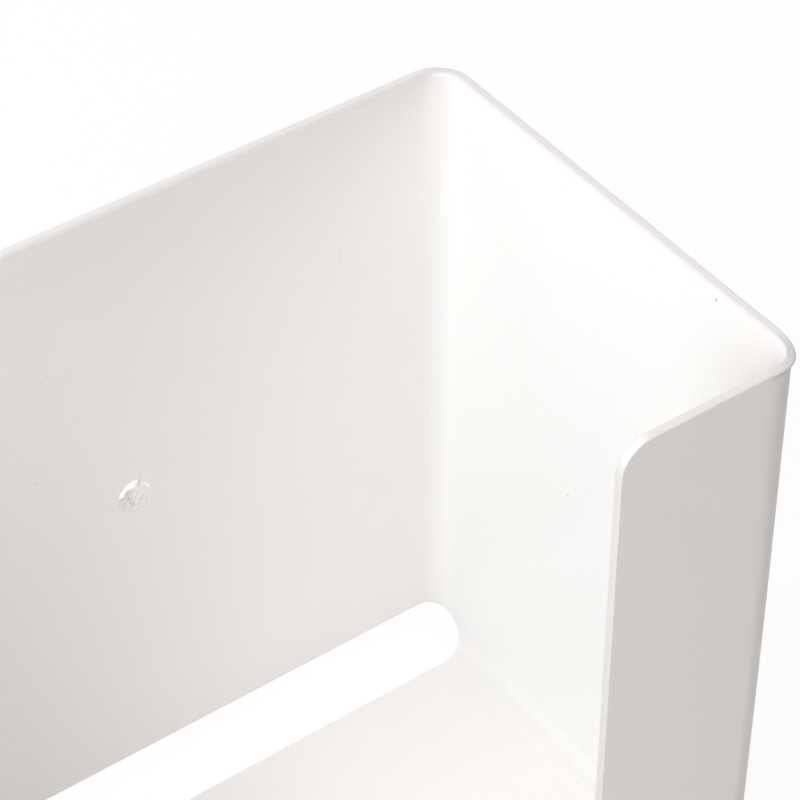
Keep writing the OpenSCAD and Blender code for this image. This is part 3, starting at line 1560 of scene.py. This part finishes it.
@dataclass
class HoleSwarf:
    """What the drill left in one screw hole: a torn web across most of it and a curled chip.

    Local places are measured from the hole's axis: x to the right, z up, and depth from the wall's
    inner face toward the wall behind. With turn, the whole is rotated about the axis. The *_rough
    fields are how far the coarse and the fine unevenness move a shape, and the *_waves ones are
    their longest and shortest wave. web_over is how far the web's edge goes into the hole's wall,
    web_flush is its depth there, and the two *_clear fields keep the tear off that wall and the
    web's back off the back of the sheet.
    """

    blank: SheetBlank
    side: Side
    seed: int = 3
    turn: float = 0.0
    across: int = 130
    down: int = 48
    tear_x: Tuple[float, ...] = (-3.71, -3.2, -2.6, -1.85, -1.0, -0.25, 0.4, 0.85, 1.15, 1.35)
    tear_z: Tuple[float, ...] = (0.6, 0.3, 0.22, 0.32, 0.48, 0.75, 1.25, 1.9, 2.6, 3.52)
    tear_rough: Pair = (0.07, 0.05)
    tear_clear: float = 0.02
    coarse_waves: Pair = (2.2, 0.8)
    fine_waves: Pair = (0.7, 0.28)
    fine_count: int = 40
    web_t: float = 0.4
    web_over: float = 0.05
    web_flush: float = 0.05
    back_clear: float = 0.05
    back_rough: float = 0.06
    back_shift: float = 4.0
    bowl_depth: float = 0.42
    bowl_r: float = 3.8
    flat_edge: float = 0.6
    dents: Tuple[Dent, ...] = (Dent(-0.5, 0.2, 1.2, 0.9, 0.6), Dent(1.3, 2.5, 0.8, 0.9, 0.75))
    scratch_r: float = 3.25
    scratch_half: float = 0.13
    scratch_depth: float = 0.1
    scratch_x: Pair = (1.6, 2.6)
    web_rough: Pair = (0.07, 0.045)
    depths: Pair = (0.03, 1.4)
    pocket: Dent = Dent(-1.1, -1.6, 1.2, 1.7, 0.9)
    least_dirt: float = 0.1
    chip_along: int = 64
    chip_across: int = 15
    chip_start: float = 2.0
    chip_end: float = 56.0
    chip_r: float = 3.05
    chip_w: float = 0.95
    chip_t: float = 0.2
    chip_thin: float = 0.35
    chip_blunt: float = 0.05
    chip_taper: float = 0.6
    chip_bow: float = 0.22
    chip_depth: float = 0.24
    chip_rough: Triple = (0.1, 0.12, 0.04)
    chip_stretch: float = 4.0
    chip_dirt: float = 0.04

    def __post_init__(self) -> None:
        """Draw the unevenness of this hole."""
        self.coarse = Ripple(self.seed, *self.coarse_waves)
        self.fine = Ripple(self.seed + 1, *self.fine_waves, self.fine_count)

    def on_wall(self, grid: np.ndarray) -> np.ndarray:
        """Places on the dispenser of a grid of local places.

        Args:
            grid: Grid of local x, z, depth.

        Returns:
            Rows of x, y, z in millimetres: turned about the axis, and moved to the hole.
        """
        spin = math.radians(self.turn)
        x, z, depth = grid.reshape(-1, 3).T
        return np.column_stack(
            (
                self.side.value * self.blank.hole_span / 2.0
                + (x * math.cos(spin) - z * math.sin(spin)),
                self.blank.depth / 2.0 - self.blank.sheet_t + depth,
                self.blank.hole_z + (x * math.sin(spin) + z * math.cos(spin)),
            )
        )

    def slab(
        self, draft: MeshDraft, front: np.ndarray, back: np.ndarray, dirt: np.ndarray, chip: float
    ) -> None:
        """Add a closed slab between two grids of places.

        Args:
            draft: Mesh to add to.
            front: Grid of local x, z, depth, facing the room.
            back: Grid of the same size behind it.
            dirt: How much dust each place holds, as a grid.
            chip: 1 for the chip and 0 for the web.
        """
        count = dirt.size
        share = np.full(count, chip)
        start = draft.add(self.on_wall(front), web_dirt=dirt.ravel(), chip_share=share)
        draft.add(self.on_wall(back), web_dirt=dirt.ravel(), chip_share=share)
        index = start + np.arange(count).reshape(dirt.shape)
        corners = (index[:-1, :-1], index[1:, :-1], index[1:, 1:], index[:-1, 1:])
        quads = np.stack(corners, axis=-1).reshape(-1, 4)
        rim = np.concatenate((index[0, :-1], index[:-1, -1], index[-1, :0:-1], index[:0:-1, 0]))
        onward = np.roll(rim, -1)
        sides = np.column_stack((rim, onward, onward + count, rim + count))
        draft.faces.extend((quads, quads[:, ::-1] + count, sides))

    def web_depth(self, x: np.ndarray, z: np.ndarray) -> np.ndarray:
        """Depth of the web's front below the wall's inner face.

        Nearly flush at the hole's edge, then a shallow bowl, a hollow along the middle of the
        tear, a deep hollow at the top right and a round scratch at the right, with unevenness.

        Args:
            x: Local places to the right.
            z: Local places upward.

        Returns:
            The depths in millimetres.
        """
        reach = np.hypot(x, z)
        bowl = self.bowl_depth * np.clip(1.0 - (reach / self.bowl_r) ** 2, 0.0, 1.0)
        ring = np.exp(-(((reach - self.scratch_r) / self.scratch_half) ** 2))
        scratch = self.scratch_depth * ring * smooth_step(*self.scratch_x, x)
        coarse, fine = self.web_rough
        uneven = coarse * self.coarse.at(x, z) + fine * self.fine.at(x, z)
        inside = np.clip((self.bowl_r - reach) / self.flat_edge, 0.0, 1.0)
        hollows = sum(dent.at(x, z) for dent in self.dents)
        return np.clip(self.web_flush + bowl + hollows + scratch + uneven * inside, *self.depths)

    def web(self, draft: MeshDraft) -> None:
        """Torn web: ruled between the hole's wall and the tear line, then pressed uneven.

        Args:
            draft: Mesh to add to.
        """
        share = np.linspace(0.0, 1.0, self.across)
        radius = self.blank.hole_d / 2.0 + self.web_over
        knots = np.linspace(0.0, 1.0, len(self.tear_x))
        tear_x = np.interp(share, knots, self.tear_x)
        tear_z = np.interp(share, knots, self.tear_z)
        free = np.sin(math.pi * share)
        tear_x = tear_x + self.tear_rough[1] * free * self.fine.at(tear_x, tear_z)
        tear_z = tear_z + self.tear_rough[0] * free * self.coarse.at(tear_x, tear_z)
        trim = np.minimum(1.0, (radius - self.tear_clear) / np.hypot(tear_x, tear_z))
        tear_x, tear_z = tear_x * trim, tear_z * trim
        start, end = math.atan2(tear_z[0], tear_x[0]), math.atan2(tear_z[-1], tear_x[-1])
        angle = start + (end + 2.0 * math.pi - start) * share
        wall_x, wall_z = radius * np.cos(angle), radius * np.sin(angle)
        toward_tear = np.linspace(1.0, 0.0, self.down)[:, None]
        x = wall_x + (tear_x - wall_x) * toward_tear
        z = wall_z + (tear_z - wall_z) * toward_tear
        depth = self.web_depth(x, z)
        back = depth + self.web_t + self.back_rough * self.fine.at(x + self.back_shift, z)
        back = np.minimum(back, self.blank.sheet_t - self.back_clear)
        dirt = np.clip(self.least_dirt + self.pocket.at(x, z), 0.0, 1.0)
        front, behind = np.stack((x, z, depth), axis=-1), np.stack((x, z, back), axis=-1)
        self.slab(draft, front, behind, dirt, 0.0)

    def chip(self, draft: MeshDraft) -> None:
        """Curled chip: a short strip along the right of the rim, bowed across its width.

        It is widest and thickest in the middle: its taper is sin(pi * share)^chip_taper, with the
        ends blunt.

        Args:
            draft: Mesh to add to.
        """
        share = np.linspace(0.0, 1.0, self.chip_along)[:, None]
        over = np.linspace(-1.0, 1.0, self.chip_across)[None, :]
        angle = np.radians(self.chip_start + (self.chip_end - self.chip_start) * share)
        cut = np.clip(share * (1.0 - 2.0 * self.chip_blunt) + self.chip_blunt, 0.0, 1.0)
        taper = np.sin(math.pi * cut) ** self.chip_taper
        place, middle = share * self.chip_stretch, share * 0.0
        line_rough, width_rough, depth_rough = self.chip_rough
        width = self.chip_w / 2.0 * taper * (1.0 + width_rough * self.fine.at(place, middle))
        radius = self.chip_r + line_rough * self.coarse.at(place, middle) + over * width
        x, z = radius * np.cos(angle), radius * np.sin(angle)
        bow = self.chip_bow * (1.0 - over**2) * taper
        depth = self.chip_depth - bow + depth_rough * self.fine.at(x, z)
        full = taper * (1.0 - over**4)
        thick = self.chip_t * (self.chip_thin + (1.0 - self.chip_thin) * full)
        front = np.stack(np.broadcast_arrays(x, z, depth), axis=-1)
        back = np.stack(np.broadcast_arrays(x, z, depth + thick), axis=-1)
        dirt = np.full(depth.shape, self.chip_dirt)
        self.slab(draft, front[:, ::-1], back[:, ::-1], dirt, 1.0)

    def build(self, name: str) -> bpy.types.Object:
        """Make the swarf of this hole.

        Args:
            name: Name of the object.

        Returns:
            The new object.
        """
        draft = MeshDraft()
        self.web(draft)
        self.chip(draft)
        return draft.write(name)


@dataclass(frozen=True)
class Lamp:
    """A square soft box that looks at the dispenser, with its power in watts.

    Its distance and the side of its square are in metres.
    """

    name: str
    azimuth: float
    elevation: float
    power: float
    colour: Triple
    distance: float = 1.6
    side: float = 1.1

    def place(self, aim: Vector) -> bpy.types.Object:
        """Stand the lamp at its distance from the aim point, turned toward it.

        Args:
            aim: Point that the lamp looks at, in metres.

        Returns:
            The lamp's object.
        """
        back = toward(self.azimuth, self.elevation)
        data = bpy.data.lights.new(self.name, "AREA")
        data.shape = "SQUARE"
        data.size = self.side
        data.energy = self.power
        data.color = self.colour
        lamp = put_in_scene(self.name, data)
        turned = back.to_track_quat("Z", "Y").to_matrix().to_4x4()
        lamp.matrix_world = Matrix.Translation(aim + back * self.distance) @ turned
        return lamp


@dataclass
class Studio:
    """Camera, floor, lamps and world, as the photograph has them.

    The camera stands at its distance from the aim point, and focal_px is its focal length in
    pixels of the photograph. The floor lies floor_gap under the tabs, glows at floor_glow where
    it is seen directly, and there shows the light on it at floor_lit.
    """

    aim: Triple = (120.81, 48.0, 72.56)
    distance: float = 577.32
    azimuth: float = -35.204
    elevation: float = 42.658
    roll: float = -0.4205
    focal_px: float = 2931.4
    sight: float = 50000.0
    lamp_aim: Triple = (0.0, 0.0, 75.0)
    lamps: Tuple[Lamp, ...] = (
        Lamp("key_left", -70.0, 30.0, 8.3, (0.941, 0.988, 1.0), 1.0, 0.7),
        Lamp("fill_front_left", -45.0, 20.0, 1.58, (1.0, 0.96, 0.98), 0.9, 0.6),
        Lamp("fill_front", -13.0, 8.0, 4.85, (1.0, 0.812, 0.726)),
        Lamp("top", 0.0, 90.0, 10.35, (1.0, 0.942, 0.918)),
        Lamp("back_left", -135.0, 30.0, 8.7, (1.0, 0.915, 0.898)),
        Lamp("back_right", 140.0, 5.0, 6.0, (1.0, 0.95, 0.92)),
    )
    sky: float = 0.01
    sky_colour: Triple = (1.0, 0.97, 0.95)
    floor_side: float = 9000.0
    floor_gap: float = 0.2
    floor_glow: float = 0.93
    floor_lit: float = 0.1
    floor_bounce: float = 0.7

    def camera(self) -> bpy.types.Object:
        """Stand the camera on the line from the aim point along its azimuth and elevation.

        Returns:
            The camera's object.
        """
        data = bpy.data.cameras.new("camera")
        data.lens = self.focal_px / PHOTO_SIDE_PX * SENSOR_MM
        data.sensor_width = SENSOR_MM
        data.sensor_fit = "HORIZONTAL"
        data.clip_end = self.sight * MM
        turn, spin = math.radians(self.azimuth), math.radians(self.roll)
        back = toward(self.azimuth, self.elevation)
        right = Vector((math.cos(turn), math.sin(turn), 0.0))
        up = back.cross(right)
        right_rolled = right * math.cos(spin) + up * math.sin(spin)
        up_rolled = up * math.cos(spin) - right * math.sin(spin)
        matrix = Matrix((right_rolled, up_rolled, back)).transposed().to_4x4()
        matrix.translation = Vector(self.aim) * MM + back * (self.distance * MM)
        camera = put_in_scene("camera", data)
        camera.matrix_world = matrix
        bpy.context.scene.camera = camera
        return camera

    def world(self) -> None:
        """White backdrop where it is seen directly, and a soft even sky for the light."""
        world = bpy.data.worlds.new("studio_sky")
        world.use_nodes = True
        bench = Bench(world.node_tree)
        bench.nodes.clear()
        light = bench.add("Background", self.sky_colour, self.sky)
        backdrop = bench.add("Background", WHITE, 1.0)
        choice = bench.add("MixShader", bench.seen_directly(), light, backdrop)
        bench.add("OutputWorld", choice)
        bpy.context.scene.world = world

    def floor_material(self) -> bpy.types.Material:
        """Material that glows pale where it is seen directly and keeps a faint shadow.

        Returns:
            The material.
        """
        bench = MaterialBench("pale_floor")
        bench.nodes.clear()
        bounce = bench.add("BsdfDiffuse", (self.floor_bounce,) * 3)
        glow = bench.add("Emission", WHITE, self.floor_glow)
        lit = bench.add("BsdfDiffuse", (self.floor_lit,) * 3)
        seen = bench.add("AddShader", glow, lit)
        choice = bench.add("MixShader", bench.seen_directly(), bounce, seen)
        bench.add("OutputMaterial", choice)
        return bench.material

    def floor(self) -> bpy.types.Object:
        """Plain square floor just under the dispenser.

        Returns:
            The floor's object.
        """
        half, low = self.floor_side / 2.0 * MM, -self.floor_gap * MM
        corners = [(-half, -half, low), (half, -half, low), (half, half, low), (-half, half, low)]
        mesh = bpy.data.meshes.new("studio_floor")
        mesh.from_pydata(corners, [], [(0, 1, 2, 3)])
        mesh.materials.append(self.floor_material())
        floor = put_in_scene("studio_floor", mesh)
        return floor

    def build(self) -> None:
        """Set up the camera, world, floor and lamps."""
        bpy.context.scene.view_settings.view_transform = "Standard"
        self.camera()
        self.world()
        self.floor()
        for lamp in self.lamps:
            lamp.place(Vector(self.lamp_aim) * MM)


def main() -> None:
    """Build the dispenser and its studio in order."""
    logging.basicConfig(level=logging.INFO, format="%(name)s: %(message)s")
    Studio().build()
    effects = Effects()
    blank = SheetBlank()
    sheet = BentSheet(blank).build("sheet_shell")
    sheet.data.materials.append(WhiteSheet().build(effects))
    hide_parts(SHEET_NODE)
    torn = TornPlastic().build(effects)
    swarf_right = HoleSwarf(blank, Side.RIGHT, seed=3).build("swarf_right")
    swarf_left = HoleSwarf(blank, Side.LEFT, seed=11, turn=18.0).build("swarf_left")
    for swarf in (swarf_right, swarf_left):
        swarf.data.materials.append(torn)
    for piece in (sheet, swarf_right, swarf_left):
        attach(piece, ROOT_BODY)
        LOG.info("%s: %d faces", piece.name, len(piece.data.polygons))


if __name__ == "__main__":
    main()
